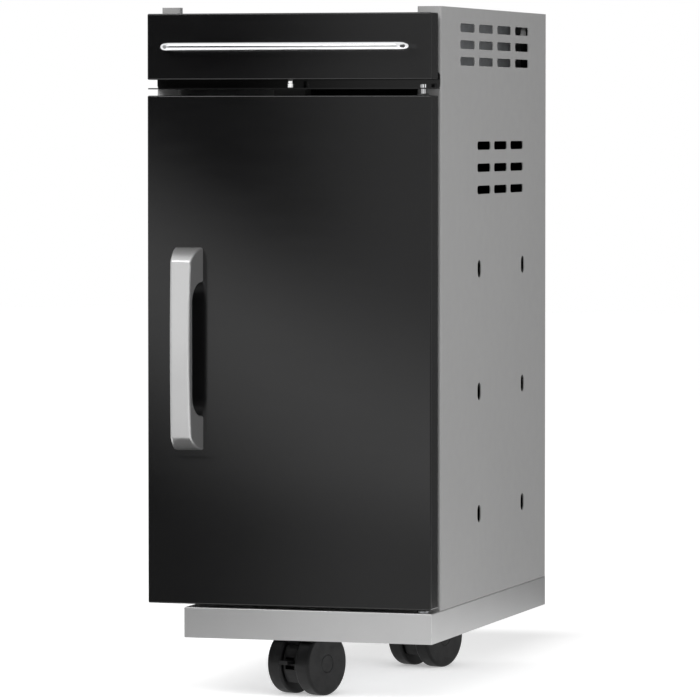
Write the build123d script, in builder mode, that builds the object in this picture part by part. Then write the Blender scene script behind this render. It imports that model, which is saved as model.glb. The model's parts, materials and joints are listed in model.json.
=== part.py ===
"""Grill side cabinet: sheet-metal box with a drawer over a door, on a base tray with two swivel casters.

Millimetres, +Z up, front towards -Y, right side towards +X.
The origin is on the floor, at the middle of the whole object's footprint.
"""

import os
from math import cos, hypot, radians, sin

from build123d import *

# Carcass
CABINET_WIDTH = 360.0
PANEL_DEPTH = 500.0
PANEL_HEIGHT = 728.0
SHEET = 1.2
BEND_RADIUS = 2.5
FRONT_FLANGE = 30.0
FRONT_LIP = 9.0
REAR_FLANGE = 22.0
TOP_FLANGE = 20.0
BOTTOM_FLANGE = 15.0
LEDGE_DROP = 12.0
TAB_INSET = 7.0
WORKTOP_HOLE_RADIUS = 2.75
WORKTOP_HOLE_SETBACK = 50.0

# Base tray
BASE_HEIGHT = 37.0
BASE_SHEET = 1.5
BASE_LEFT_INSET = 47.0
BASE_EDGE = 1.2
GROUND_CLEARANCE = 75.0

# Vents and slots in the side panels
TOP_VENT_SIZE = (66.0, 10.5)
TOP_VENT_PITCH = (86.0, 20.4)
TOP_VENT_COUNT = (4, 3)
TOP_VENT_DROP = 44.7
TOP_VENT_SETBACK = 248.0
MIDDLE_VENT_SIZE = (62.0, 10.4)
MIDDLE_VENT_PITCH = (78.5, 27.3)
MIDDLE_VENT_COUNT = (3, 3)
MIDDLE_VENT_DROP = 195.5
MIDDLE_VENT_SETBACK = 274.5
VENT_CORNER = 4.2
BOLT_SLOT_LENGTH = 22.0
BOLT_SLOT_WIDTH = 16.0
BOLT_SLOT_PITCH = (208.0, 151.5)
BOLT_SLOT_COUNT = (2, 3)
BOLT_SLOT_DROP = 471.5
BOLT_SLOT_SETBACK = 278.5

# Drawer front and door
FRONT_REACH = 40.0
FRONT_GAP = 9.0
FRONT_SIDE_MARGIN = 1.0
FRONT_EDGE_RADIUS = 1.8
FRONT_RETURN = 14.0
LINER_INSET = 5.0
DRAWER_TOP_DROP = 8.0
DRAWER_FRONT_HEIGHT = 80.0
FRONTS_SPLIT = 19.0
DOOR_BASE_GAP = 4.0

# Cross rail between drawer and door
RAIL_SHEET = 2.0
RAIL_HEIGHT = 21.0
RAIL_CORNER = 5.0
LIP_CORNER = 1.5
LIP_SHEET = 1.5
LIP_SETBACK = 2.0
LIP_ABOVE_DOOR = 7.5
RAIL_SCREW_INSET = 14.0
RAIL_SCREW_DROP = 5.5

# Nylon rest on the lip, under the drawer front
REST_X = 1.0
REST_SETBACK = 4.5
REST_RADIUS = 3.2
REST_EDGE = 1.0
REST_CAP_RADIUS = 2.8
REST_CAP_HEIGHT = 2.6
REST_NECK_RADIUS = 2.0
REST_NECK_HEIGHT = 1.0
REST_SHANK_RADIUS = 1.6
REST_GAP = 1.4

# Drawer box and telescopic slides
SLIDE_THICKNESS = 12.7
SLIDE_HEIGHT = 35.0
SLIDE_SHEET = 1.2
SLIDE_GAP = 0.3
SLIDE_LENGTH = 440.0
SLIDE_MIDDLE_LENGTH = 400.0
SLIDE_SETBACK = 4.0
BRACKET_HEIGHT = 58.0
BRACKET_REAR_GAP = 20.0
DRAWER_REAR_GAP = 52.0
DRAWER_BOX_HEIGHT = 63.0
DRAWER_RAIL_GAP = 1.5
DRAWER_BASE_RECESS = 2.0

# Handles
BAR_DIAMETER = 10.0
BAR_LENGTH = 313.5
BAR_STANDOFF = 25.0
BAR_BEND = 11.0
BAR_RISE = 39.5
GRIP_LENGTH = 246.0
GRIP_BASE_WIDTH = 36.2
GRIP_FRONT_WIDTH = 24.6
GRIP_REACH = 36.3
GRIP_SHOULDER_REACH = 31.7
GRIP_SHOULDER_DROP = 16.0
GRIP_SHOULDER_RADIUS = 7.0
GRIP_END_BULGE = 3.5
GRIP_THICKNESS = 10.7
GRIP_LEG = 42.0
GRIP_HOLLOW_RISE = 25.0
GRIP_EDGE_RADIUS = 3.0
GRIP_FROM_LEFT = 52.8
GRIP_DROP = 306.8

# Door pivots, catch and bumpers
PIVOT_INSET = 14.0
PIVOT_FROM_FRONT = 14.0
PIN_RADIUS = 3.0
PIN_ENGAGEMENT = 14.0
PIN_HEAD_RADIUS = 3.8
PIN_HEAD_HEIGHT = 5.0
PIN_HEAD_EDGE = 1.2
PIN_FOOT_RADIUS = 4.0
PIN_RUNNING_GAP = 0.05
BUSH_WALL = 2.0
BUSH_FLANGE_RADIUS = 7.0
BUSH_FLANGE = 2.0
CATCH_X = -8.0
CATCH_WIDTH = 40.0
CATCH_HEIGHT = 26.0
CATCH_DEPTH = 14.0
CATCH_UPSTAND = 15.0
CATCH_UPSTAND_DEPTH = 8.0
CATCH_SCREW_RISE = 6.0
STRIKE_WIDTH = 34.0
STRIKE_HEIGHT = 15.0
STRIKE_SHEET = 1.5
STRIKE_DROP = 3.0
CATCH_GAP = 0.3
BUMPER_RADIUS = 6.0
BUMPER_TAPER_ANGLE = 10.0
BUMPER_SIDE_INSET = 15.0
BUMPER_END_INSET = 45.0

# Screws and bolts
SCREW_RADIUS = 2.0
SCREW_HEAD_RADIUS = 4.0
SCREW_HEAD_HEIGHT = 2.4
SCREW_HEAD_EDGE = 2.0
SCREW_SOCKET_RADIUS = 1.6
SCREW_SOCKET_DEPTH = 1.2
SCREW_LENGTH = 9.0
SCREW_GAP = 0.1
BOLT_RADIUS = 3.0
BOLT_HEAD_RADIUS = 5.8
BOLT_HEAD_HEIGHT = 4.0
NUT_HEIGHT = 5.0
THREAD_GAP = 0.05
BOLT_OVERHANG = 2.0
REAR_SCREW_COUNT = 4
REAR_SCREW_END_INSET = 45.0
FLOOR_BOLT_INSET = (40.0, 60.0)

# Casters
WHEEL_RADIUS = 39.0
WHEEL_WIDTH = 21.0
WHEEL_TRACK = 43.0
WHEEL_EDGE = 3.5
HUB_RADIUS = 11.0
HUB_GROOVE = 0.5
AXLE_RADIUS = 4.0
AXLE_RUNNING_GAP = 0.05
AXLE_SEAT_GAP = 0.02
HUB_COVER = 5.0
WHEEL_SIDE_GAP = 1.0
CASTER_HEIGHT = 94.0
CASTER_TRAIL = 28.0
CASTER_PLATE_SHEET = 3.0
CASTER_PLATE_CORNER = 6.0
CASTER_BOLT_PITCH = 44.0
CASTER_BOLT_EDGE = 8.0
STEM_RADIUS = 5.5
STEM_LENGTH = 34.0
STEM_RUNNING_GAP = 0.05
SWIVEL_GAP = 1.0
HOOD_WEB_RADIUS = 34.0
HOOD_BARREL_RADIUS = 9.5
HOOD_BARREL_DEPTH = 46.0
HOOD_FOOT_CLEARANCE = 16.0
FENDER_GAP = 2.0
FENDER_THICKNESS = 3.0
FENDER_HALF_ANGLE = 46.0
CHANNEL_SHEET = 2.0
CHANNEL_WIDTH = 130.0
CHANNEL_FLANGE = 15.0
CHANNEL_END_GAP = 20.0
FRONT_CASTER_X = 4.0
FRONT_CASTER_SETBACK = 121.0
FRONT_CASTER_ANGLE = -21.0
REAR_CASTER_X = 33.0
REAR_CASTER_SETBACK = 114.0
REAR_CASTER_ANGLE = 159.0

# Brake lever of the front caster
BRAKE_PIVOT_REACH = 27.0
BRAKE_PIVOT_RISE = 1.0
BRAKE_PIN_RADIUS = 2.0
BRAKE_BOSS_RADIUS = 4.5
BRAKE_PEDAL_LENGTH = 20.0
BRAKE_PEDAL_THICKNESS = 5.0
BRAKE_POCKET_HALF = 7.0
BRAKE_POCKET_SIDE = 3.0
BRAKE_SIDE_GAP = 0.4

# Places worked out from the sizes above
HALF_WIDTH = CABINET_WIDTH / 2
WALL_INNER_X = HALF_WIDTH - SHEET
FOLD_REACH = 2 * BEND_RADIUS
BEND_CLEAR_X = HALF_WIDTH - BEND_RADIUS
OPENING_HALF = HALF_WIDTH - FRONT_FLANGE
FOREMOST = FRONT_REACH + GRIP_REACH
REARMOST = PANEL_DEPTH + SCREW_HEAD_HEIGHT
PANEL_FRONT_Y = (FOREMOST - REARMOST) / 2
PANEL_BACK_Y = PANEL_FRONT_Y + PANEL_DEPTH
FRONT_Y = PANEL_FRONT_Y - FRONT_REACH
LINER_BACK_Y = PANEL_FRONT_Y - FRONT_GAP
SKIN_BACK_Y = LINER_BACK_Y - SHEET
BASE_Z = GROUND_CLEARANCE
BASE_TOP_Z = BASE_Z + BASE_HEIGHT
FLOOR_TOP_Z = BASE_TOP_Z + SHEET
TOP_Z = BASE_TOP_Z + PANEL_HEIGHT
LEDGE_Z = TOP_Z - LEDGE_DROP
BASE_LEFT_X = -HALF_WIDTH + BASE_LEFT_INSET
TRAY_CEILING_Z = BASE_TOP_Z - BASE_SHEET
FRONT_HALF = HALF_WIDTH - FRONT_SIDE_MARGIN
DRAWER_TOP_Z = TOP_Z - DRAWER_TOP_DROP
DRAWER_BOTTOM_Z = DRAWER_TOP_Z - DRAWER_FRONT_HEIGHT
DOOR_TOP_Z = DRAWER_BOTTOM_Z - FRONTS_SPLIT
DOOR_BOTTOM_Z = BASE_TOP_Z + DOOR_BASE_GAP
LIP_BOTTOM_Z = DOOR_TOP_Z + LIP_ABOVE_DOOR
LIP_TOP_Z = LIP_BOTTOM_Z + LIP_SHEET
RAIL_TOP_Z = LIP_BOTTOM_Z + RAIL_HEIGHT
REST_Y = FRONT_Y + LIP_SETBACK + REST_SETBACK
RAIL_FRONT_Y = PANEL_FRONT_Y - RAIL_SHEET
BOX_HALF = OPENING_HALF - SLIDE_THICKNESS
BOX_BOTTOM_Z = RAIL_TOP_Z + DRAWER_RAIL_GAP
BOX_TOP_Z = BOX_BOTTOM_Z + DRAWER_BOX_HEIGHT
SLIDE_Z = (BOX_BOTTOM_Z + BOX_TOP_Z) / 2
PIVOT_X = FRONT_HALF - PIVOT_INSET
PIVOT_Y = FRONT_Y + PIVOT_FROM_FRONT
BUSH_RADIUS = PIN_RADIUS + PIN_RUNNING_GAP + BUSH_WALL
GRIP_X = -FRONT_HALF + GRIP_FROM_LEFT
GRIP_Z = DOOR_TOP_Z - GRIP_DROP
GRIP_SCREW_Z = (GRIP_LENGTH - GRIP_LEG) / 2
BAR_Z = DRAWER_BOTTOM_Z + BAR_RISE
BAR_LEG_X = (BAR_LENGTH - BAR_DIAMETER) / 2
CATCH_SCREW_Z = LIP_BOTTOM_Z + CATCH_SCREW_RISE
RAIL_SCREW_X = HALF_WIDTH - RAIL_SCREW_INSET
RAIL_SCREW_Z = RAIL_TOP_Z - RAIL_SCREW_DROP
REAR_SCREW_X = HALF_WIDTH - REAR_FLANGE / 2
REAR_SCREW_PITCH = (PANEL_HEIGHT - 2 * REAR_SCREW_END_INSET) / (REAR_SCREW_COUNT - 1)
REAR_SCREW_ZS = [BASE_TOP_Z + REAR_SCREW_END_INSET + REAR_SCREW_PITCH * i for i in range(REAR_SCREW_COUNT)]
WORKTOP_HOLE_X = HALF_WIDTH - TOP_FLANGE / 2
WORKTOP_HOLE_YS = (PANEL_FRONT_Y + WORKTOP_HOLE_SETBACK, PANEL_BACK_Y - WORKTOP_HOLE_SETBACK)
FLOOR_BOLTS = [
    (x, y, BASE_TOP_Z)
    for x in (BASE_LEFT_X + FLOOR_BOLT_INSET[0], HALF_WIDTH - FLOOR_BOLT_INSET[0])
    for y in (PANEL_FRONT_Y + FLOOR_BOLT_INSET[1], PANEL_BACK_Y - FLOOR_BOLT_INSET[1])
]
BASE_MIDDLE_X = (BASE_LEFT_X + HALF_WIDTH) / 2
CASTER_PLATE = CASTER_BOLT_PITCH + 2 * CASTER_BOLT_EDGE
CHANNEL_BOTTOM_Z = CASTER_HEIGHT
PLATE_BOTTOM_Z = CASTER_HEIGHT - CASTER_PLATE_SHEET
HOOD_TOP_Z = PLATE_BOTTOM_Z - SWIVEL_GAP
STEM_PLACES = {
    "front": (FRONT_CASTER_X, FRONT_Y + FRONT_CASTER_SETBACK, FRONT_CASTER_ANGLE),
    "rear": (REAR_CASTER_X, PANEL_BACK_Y - REAR_CASTER_SETBACK, REAR_CASTER_ANGLE),
}
HOOD_HALF = (WHEEL_TRACK - WHEEL_WIDTH) / 2 - WHEEL_SIDE_GAP
WHEEL_INNER = (WHEEL_TRACK - WHEEL_WIDTH) / 2
WHEEL_OUTER = WHEEL_INNER + WHEEL_WIDTH

AXIS_TURNS = {"X": (0, 90, 0), "Y": (90, 0, 0), "Z": (0, 0, 0)}


def block(x, y, z, mode=Mode.ADD):
    """Box between a low and a high limit along each axis."""
    with Locations((sum(x) / 2, sum(y) / 2, sum(z) / 2)):
        Box(x[1] - x[0], y[1] - y[0], z[1] - z[0], mode=mode)


def bore(axis, places, radius, length):
    """Round holes along one axis, centred on the places."""
    with Locations(*[Location(place, AXIS_TURNS[axis]) for place in places]):
        Cylinder(radius, length, mode=Mode.SUBTRACT)


def write(builder, name):
    """Label one finished piece and write it to its own file."""
    builder.part.label = name
    export_step(builder.part, f"parts/{name}.step")


def write_folded(builders, name):
    """Write the walls of one folded sheet, which touch along straight seams, to one file."""
    piece = Compound([solid for builder in builders for solid in builder.part.solids()])
    piece.label = name
    export_step(piece, f"parts/{name}.step")


def pan_head_screw(length):
    """Screw with a domed head above its own XY plane and its shank below."""
    with BuildPart() as screw:
        with BuildSketch(Plane.XZ):
            with BuildLine():
                Polyline(
                    (0, SCREW_HEAD_HEIGHT),
                    (0, -length),
                    (SCREW_RADIUS, -length),
                    (SCREW_RADIUS, 0),
                    (SCREW_HEAD_RADIUS, 0),
                    (SCREW_HEAD_RADIUS, SCREW_HEAD_HEIGHT),
                    close=True,
                )
            make_face()
        revolve(axis=Axis.Z)
        fillet(screw.faces().sort_by(Axis.Z)[-1].edges(), SCREW_HEAD_EDGE)
        with BuildSketch(Plane.XY.offset(SCREW_HEAD_HEIGHT)):
            RegularPolygon(SCREW_SOCKET_RADIUS, 6)
        extrude(amount=-SCREW_SOCKET_DEPTH, mode=Mode.SUBTRACT)
    return screw.part


def screw_group(name, places, direction, length=SCREW_LENGTH):
    """Identical screws whose head seats are at the places, heads towards the direction."""
    seats = [Plane(origin=place, x_dir=(1, 0, 0), z_dir=direction).location for place in places]
    template = pan_head_screw(length)
    with BuildPart() as group:
        with Locations(*seats):
            add(template)
    write(group, name)


def hex_bolt(length):
    """Bolt with a hexagon head above its own XY plane and its shank below."""
    with BuildPart() as bolt:
        with BuildSketch():
            RegularPolygon(BOLT_HEAD_RADIUS, 6)
        extrude(amount=BOLT_HEAD_HEIGHT)
        with BuildSketch():
            Circle(BOLT_RADIUS)
        extrude(amount=-length)
    return bolt.part


def hex_nut():
    """Nut that stands on its own XY plane."""
    with BuildPart() as nut:
        with BuildSketch():
            RegularPolygon(BOLT_HEAD_RADIUS, 6)
            Circle(BOLT_RADIUS + THREAD_GAP, mode=Mode.SUBTRACT)
        extrude(amount=NUT_HEIGHT)
    return nut.part


# Base tray, open below
def base_tray():
    x = (BASE_LEFT_X, HALF_WIDTH)
    y = (FRONT_Y, PANEL_BACK_Y)
    skirt_z = (BASE_Z, TRAY_CEILING_Z)
    with BuildPart() as top:
        block(x, y, (TRAY_CEILING_Z, BASE_TOP_Z))
        fillet(top.edges().filter_by(Axis.Z), BASE_EDGE)
        fillet(top.faces().sort_by(Axis.Z)[-1].edges(), BASE_EDGE)
        bore("Z", [(PIVOT_X, PIVOT_Y, BASE_TOP_Z)], PIN_FOOT_RADIUS, 4 * BASE_SHEET)
        bore("Z", FLOOR_BOLTS, BOLT_RADIUS + SCREW_GAP, 4 * BASE_SHEET)
    with BuildPart() as front_skirt:
        block(x, (y[0], y[0] + BASE_SHEET), skirt_z)
        fillet(front_skirt.edges().filter_by(Axis.Z).group_by(Axis.Y)[0], BASE_EDGE)
    with BuildPart() as rear_skirt:
        block(x, (y[1] - BASE_SHEET, y[1]), skirt_z)
        fillet(rear_skirt.edges().filter_by(Axis.Z).group_by(Axis.Y)[-1], BASE_EDGE)
    with BuildPart() as side_skirts:
        for skirt_x in ((x[0], x[0] + BASE_SHEET), (x[1] - BASE_SHEET, x[1])):
            block(skirt_x, (y[0] + BASE_SHEET, y[1] - BASE_SHEET), skirt_z)
    write_folded((top, front_skirt, rear_skirt, side_skirts), "base_tray")


# Cabinet floor, between the side panels and on the base
def floor_panel():
    opening_x = (-OPENING_HALF, OPENING_HALF)
    front_y = PANEL_FRONT_Y + SHEET
    back_y = PANEL_BACK_Y - 2 * SHEET
    plate_z = (BASE_TOP_Z, FLOOR_TOP_Z)
    with BuildPart() as floor:
        block(opening_x, (front_y, back_y), plate_z)
        block((-BEND_CLEAR_X, BEND_CLEAR_X), (PANEL_FRONT_Y + FRONT_LIP, back_y), plate_z)
        block(opening_x, (front_y, front_y + SHEET), (BASE_TOP_Z, BASE_TOP_Z + BOTTOM_FLANGE))
        bore("Z", FLOOR_BOLTS, BOLT_RADIUS + SCREW_GAP, 2 * BASE_HEIGHT)
    write(floor, "floor_panel")


def floor_fasteners():
    grip = SHEET + BASE_SHEET
    heads = [Location((x, y, FLOOR_TOP_Z)) for x, y, _ in FLOOR_BOLTS]
    nuts = [Location((x, y, TRAY_CEILING_Z - NUT_HEIGHT)) for x, y, _ in FLOOR_BOLTS]
    bolt = hex_bolt(grip + NUT_HEIGHT + BOLT_OVERHANG)
    nut = hex_nut()
    with BuildPart() as bolts:
        with Locations(*heads):
            add(bolt)
    write(bolts, "floor_bolts")
    with BuildPart() as nut_group:
        with Locations(*nuts):
            add(nut)
    write(nut_group, "floor_nuts")


# Side panels, one folded sheet each, with a ledge for a worktop inside the rim
def bent_strip(points, side, top_z):
    """Upright strip of sheet, bent where its outline turns."""
    with BuildPart() as strip:
        with BuildSketch(Plane.XY.offset(BASE_TOP_Z)):
            with BuildLine():
                FilletPolyline(*points, radius=BEND_RADIUS)
                offset(amount=SHEET, side=Side.LEFT if side > 0 else Side.RIGHT)
            make_face()
        extrude(amount=top_z - BASE_TOP_Z)
    return strip.part


def side_panel(name, side, rim):
    wall_x = side * HALF_WIDTH
    flange_x = side * OPENING_HALF
    lip_end_x = side * (OPENING_HALF + FOLD_REACH)
    rear_x = side * (HALF_WIDTH - REAR_FLANGE)
    fold_y = (PANEL_FRONT_Y + FOLD_REACH, PANEL_BACK_Y - FOLD_REACH)
    flat_y = (PANEL_FRONT_Y + BEND_RADIUS, PANEL_BACK_Y - BEND_RADIUS)
    wall_top_z = TOP_Z if rim else LEDGE_Z
    vent_z = TOP_Z - TOP_VENT_DROP
    middle_z = TOP_Z - MIDDLE_VENT_DROP
    slot_z = TOP_Z - BOLT_SLOT_DROP
    with BuildPart() as wall:
        block(sorted((side * WALL_INNER_X, wall_x)), fold_y, (BASE_TOP_Z, wall_top_z))
        with BuildSketch(Plane.YZ.offset(wall_x)):
            with Locations((PANEL_FRONT_Y + TOP_VENT_SETBACK, vent_z)):
                with GridLocations(*TOP_VENT_PITCH, *TOP_VENT_COUNT):
                    RectangleRounded(*TOP_VENT_SIZE, VENT_CORNER)
            with Locations((PANEL_FRONT_Y + MIDDLE_VENT_SETBACK, middle_z)):
                with GridLocations(*MIDDLE_VENT_PITCH, *MIDDLE_VENT_COUNT):
                    RectangleRounded(*MIDDLE_VENT_SIZE, VENT_CORNER)
            with Locations((PANEL_FRONT_Y + BOLT_SLOT_SETBACK, slot_z)):
                with GridLocations(*BOLT_SLOT_PITCH, *BOLT_SLOT_COUNT):
                    SlotOverall(BOLT_SLOT_LENGTH, BOLT_SLOT_WIDTH, rotation=90)
        extrude(amount=SHEET * 2, both=True, mode=Mode.SUBTRACT)

    lip_points = [
        (flange_x, PANEL_FRONT_Y + FRONT_LIP),
        (flange_x, PANEL_FRONT_Y),
        (lip_end_x, PANEL_FRONT_Y),
    ]
    lip_strip = bent_strip(lip_points, side, TOP_Z)
    with BuildPart() as lip:
        add(lip_strip)

    front_points = [(lip_end_x, PANEL_FRONT_Y), (wall_x, PANEL_FRONT_Y), (wall_x, fold_y[0])]
    front_strip = bent_strip(front_points, side, TOP_Z)
    with BuildPart() as front:
        add(front_strip)
        if not rim:
            edge_x = sorted((side * (HALF_WIDTH - TAB_INSET), wall_x))
            block(edge_x, (PANEL_FRONT_Y, fold_y[0]), (LEDGE_Z, TOP_Z), Mode.SUBTRACT)
        rail_holes = [(side * RAIL_SCREW_X, PANEL_FRONT_Y, RAIL_SCREW_Z)]
        bore("Y", rail_holes, SCREW_RADIUS + SCREW_GAP, 4 * SHEET)

    rear_points = [(wall_x, fold_y[1]), (wall_x, PANEL_BACK_Y), (rear_x, PANEL_BACK_Y)]
    rear_strip = bent_strip(rear_points, side, wall_top_z)
    with BuildPart() as rear:
        add(rear_strip)
        rear_holes = [(side * REAR_SCREW_X, PANEL_BACK_Y, z) for z in REAR_SCREW_ZS]
        bore("Y", rear_holes, SCREW_RADIUS + SCREW_GAP, 4 * SHEET)

    with BuildPart() as ledge:
        ledge_x = sorted((side * WALL_INNER_X, side * (HALF_WIDTH - TOP_FLANGE)))
        block(ledge_x, flat_y, (LEDGE_Z - SHEET, LEDGE_Z))
        top_holes = [(side * WORKTOP_HOLE_X, y, LEDGE_Z) for y in WORKTOP_HOLE_YS]
        bore("Z", top_holes, WORKTOP_HOLE_RADIUS, 4 * SHEET)

    with BuildPart() as foot:
        foot_x = sorted((side * WALL_INNER_X, side * (HALF_WIDTH - BOTTOM_FLANGE)))
        block(foot_x, flat_y, (FLOOR_TOP_Z, FLOOR_TOP_Z + SHEET))
    write_folded((wall, lip, front, rear, ledge, foot), name)


# Back panel and the rail across the top of it
def back_panel():
    y = (PANEL_BACK_Y - 2 * SHEET, PANEL_BACK_Y - SHEET)
    holes = [(side * REAR_SCREW_X, y[0], z) for side in (-1, 1) for z in REAR_SCREW_ZS]
    with BuildPart() as back:
        block((-BEND_CLEAR_X, BEND_CLEAR_X), y, (BASE_TOP_Z, LEDGE_Z - SHEET))
        bore("Y", holes, SCREW_RADIUS + SCREW_GAP, 4 * SHEET)
    write(back, "back_panel")
    seats = [(x, PANEL_BACK_Y, z) for x, _, z in holes]
    screw_group("back_panel_screws", seats, (0, 1, 0))


def top_rear_rail():
    back_y = PANEL_BACK_Y - 2 * SHEET
    top_z = LEDGE_Z - SHEET
    wall_half = HALF_WIDTH - REAR_FLANGE - SCREW_HEAD_RADIUS
    with BuildPart() as rail:
        block((-wall_half, wall_half), (back_y - SHEET, back_y), (top_z - REAR_FLANGE, top_z))
        block((-BEND_CLEAR_X, BEND_CLEAR_X), (back_y - REAR_FLANGE, back_y), (top_z - SHEET, top_z))
    write(rail, "top_rear_rail")


# Cross rail between drawer and door, with a lip that carries the upper door pivot
def front_rail():
    with BuildPart() as rail:
        with BuildSketch(Plane.XZ.offset(-PANEL_FRONT_Y)) as face:
            with Locations((0, (LIP_BOTTOM_Z + RAIL_TOP_Z) / 2)):
                Rectangle(2 * FRONT_HALF, RAIL_HEIGHT)
            fillet(face.vertices().group_by(Axis.Z)[-1], RAIL_CORNER)
        extrude(amount=RAIL_SHEET)
        lip_y = (FRONT_Y + LIP_SETBACK, RAIL_FRONT_Y)
        block((-FRONT_HALF, FRONT_HALF), lip_y, (LIP_BOTTOM_Z, LIP_TOP_Z))
        lip_corners = rail.edges().filter_by(Axis.Z).group_by(Axis.Y)[0]
        fillet(lip_corners, LIP_CORNER)
        bore("Z", [(PIVOT_X, PIVOT_Y, LIP_TOP_Z)], PIN_RADIUS, 4 * LIP_SHEET)
        bore("Z", [(REST_X, REST_Y, LIP_TOP_Z)], REST_SHANK_RADIUS, 4 * LIP_SHEET)
        screw_holes = [(side * RAIL_SCREW_X, RAIL_FRONT_Y, RAIL_SCREW_Z) for side in (-1, 1)]
        screw_holes.append((CATCH_X, RAIL_FRONT_Y, CATCH_SCREW_Z))
        bore("Y", screw_holes, SCREW_RADIUS + SCREW_GAP, 4 * RAIL_SHEET)
    write(rail, "front_rail")
    screw_group("rail_screws", screw_holes[:2], (0, -1, 0))
    screw_group("catch_screw", screw_holes[2:], (0, -1, 0))


# Rest that stops the drawer front from sagging onto the lip: a rounded foot, a neck and a cap
def drawer_rest():
    cap_top = DRAWER_BOTTOM_Z - REST_GAP
    cap_foot = cap_top - REST_CAP_HEIGHT
    neck_foot = cap_foot - REST_NECK_HEIGHT
    with BuildPart() as rest:
        with BuildSketch(Plane(origin=(REST_X, REST_Y, LIP_TOP_Z))):
            Circle(REST_RADIUS)
        extrude(amount=neck_foot - LIP_TOP_Z)
        fillet(rest.faces().filter_by(Axis.Z).edges(), REST_EDGE)
        with BuildSketch(Plane(origin=(REST_X, REST_Y, cap_foot))):
            Circle(REST_CAP_RADIUS)
        extrude(amount=REST_CAP_HEIGHT)
        fillet(rest.faces().sort_by(Axis.Z)[-1].edges(), REST_EDGE)
        with BuildSketch(Plane(origin=(REST_X, REST_Y, neck_foot))):
            Circle(REST_NECK_RADIUS)
        extrude(amount=REST_NECK_HEIGHT)
        with BuildSketch(Plane(origin=(REST_X, REST_Y, LIP_BOTTOM_Z))):
            Circle(REST_SHANK_RADIUS)
        extrude(amount=LIP_SHEET)
    write(rest, "drawer_rest")


# Folded shell of a front, open at the back inside its return flanges
def front_skin(name, z, wall_holes, hole_axis_z=()):
    x = (-FRONT_HALF, FRONT_HALF)
    y = (FRONT_Y, SKIN_BACK_Y)
    with BuildPart() as skin:
        block(x, y, z)
        fillet(skin.edges().filter_by(Axis.Y), FRONT_EDGE_RADIUS)
        fillet(skin.faces().sort_by(Axis.Y)[0].edges(), FRONT_EDGE_RADIUS)
        cavity = [(limits[0] + SHEET, limits[1] - SHEET) for limits in (x, y, z)]
        block(*cavity, Mode.SUBTRACT)
        mouth_x = (x[0] + FRONT_RETURN, x[1] - FRONT_RETURN)
        mouth_z = (z[0] + FRONT_RETURN, z[1] - FRONT_RETURN)
        block(mouth_x, (y[1] - SHEET, y[1]), mouth_z, Mode.SUBTRACT)
        bore("Y", wall_holes, SCREW_RADIUS + SCREW_GAP, 4 * SHEET)
        if hole_axis_z:
            bore("Z", hole_axis_z, BUSH_RADIUS, 4 * SHEET)
    write(skin, name)


def front_liner(name, z, holes=()):
    with BuildPart() as liner:
        x = (-FRONT_HALF + LINER_INSET, FRONT_HALF - LINER_INSET)
        block(x, (SKIN_BACK_Y, LINER_BACK_Y), (z[0] + LINER_INSET, z[1] - LINER_INSET))
        if holes:
            bore("Y", holes, SCREW_RADIUS + SCREW_GAP, 4 * SHEET)
    write(liner, name)


# Drawer
def drawer():
    z = (DRAWER_BOTTOM_Z, DRAWER_TOP_Z)
    bar_screws = [(side * BAR_LEG_X, FRONT_Y + SHEET, BAR_Z) for side in (-1, 1)]
    front_skin("drawer_front", z, bar_screws)
    screw_group("drawer_handle_screws", bar_screws, (0, 1, 0))
    screw_x = BOX_HALF - FRONT_RETURN
    screw_z = (BOX_BOTTOM_Z + FRONT_RETURN, BOX_TOP_Z - FRONT_RETURN)
    box_screws = [(side * screw_x, LINER_BACK_Y + SHEET, z) for side in (-1, 1) for z in screw_z]
    front_liner("drawer_liner", z, box_screws)
    screw_group("drawer_front_screws", box_screws, (0, 1, 0))

    box_y = (LINER_BACK_Y, PANEL_BACK_Y - DRAWER_REAR_GAP)
    inner_x = (-BOX_HALF + SHEET, BOX_HALF - SHEET)
    inner_y = (box_y[0] + SHEET, box_y[1] - SHEET)
    base_z = BOX_BOTTOM_Z + DRAWER_BASE_RECESS
    with BuildPart() as box:
        block((-BOX_HALF, BOX_HALF), box_y, (BOX_BOTTOM_Z, BOX_TOP_Z))
        block(inner_x, inner_y, (base_z + SHEET, BOX_TOP_Z), Mode.SUBTRACT)
        block(inner_x, inner_y, (BOX_BOTTOM_Z, base_z), Mode.SUBTRACT)
        bore("Y", box_screws, SCREW_RADIUS + SCREW_GAP, 4 * SHEET)
    write(box, "drawer_box")


def drawer_handle():
    bar_y = FRONT_Y - BAR_STANDOFF
    with BuildPart() as handle:
        with BuildLine(Plane.XY.offset(BAR_Z)) as path:
            FilletPolyline(
                (-BAR_LEG_X, FRONT_Y),
                (-BAR_LEG_X, bar_y),
                (BAR_LEG_X, bar_y),
                (BAR_LEG_X, FRONT_Y),
                radius=BAR_BEND,
            )
        with BuildSketch(Plane(origin=path.line @ 0, z_dir=path.line % 0)):
            Circle(BAR_DIAMETER / 2)
        sweep()
        holes = [(side * BAR_LEG_X, FRONT_Y, BAR_Z) for side in (-1, 1)]
        bore("Y", holes, SCREW_RADIUS + SCREW_GAP, 2 * (SCREW_LENGTH - SHEET + SCREW_GAP))
    write(handle, "drawer_handle")


# Telescopic slide on one side: three nested channels and the bracket that carries the outer one
def channel(x_web, x_tip, half_height, y):
    web_x = sorted((x_web, x_web + (SLIDE_SHEET if x_tip > x_web else -SLIDE_SHEET)))
    reach = sorted((x_web, x_tip))
    block(web_x, y, (SLIDE_Z - half_height, SLIDE_Z + half_height))
    for edge in (-1, 1):
        outer = SLIDE_Z + edge * half_height
        block(reach, y, sorted((outer, outer - edge * SLIDE_SHEET)))


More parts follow.
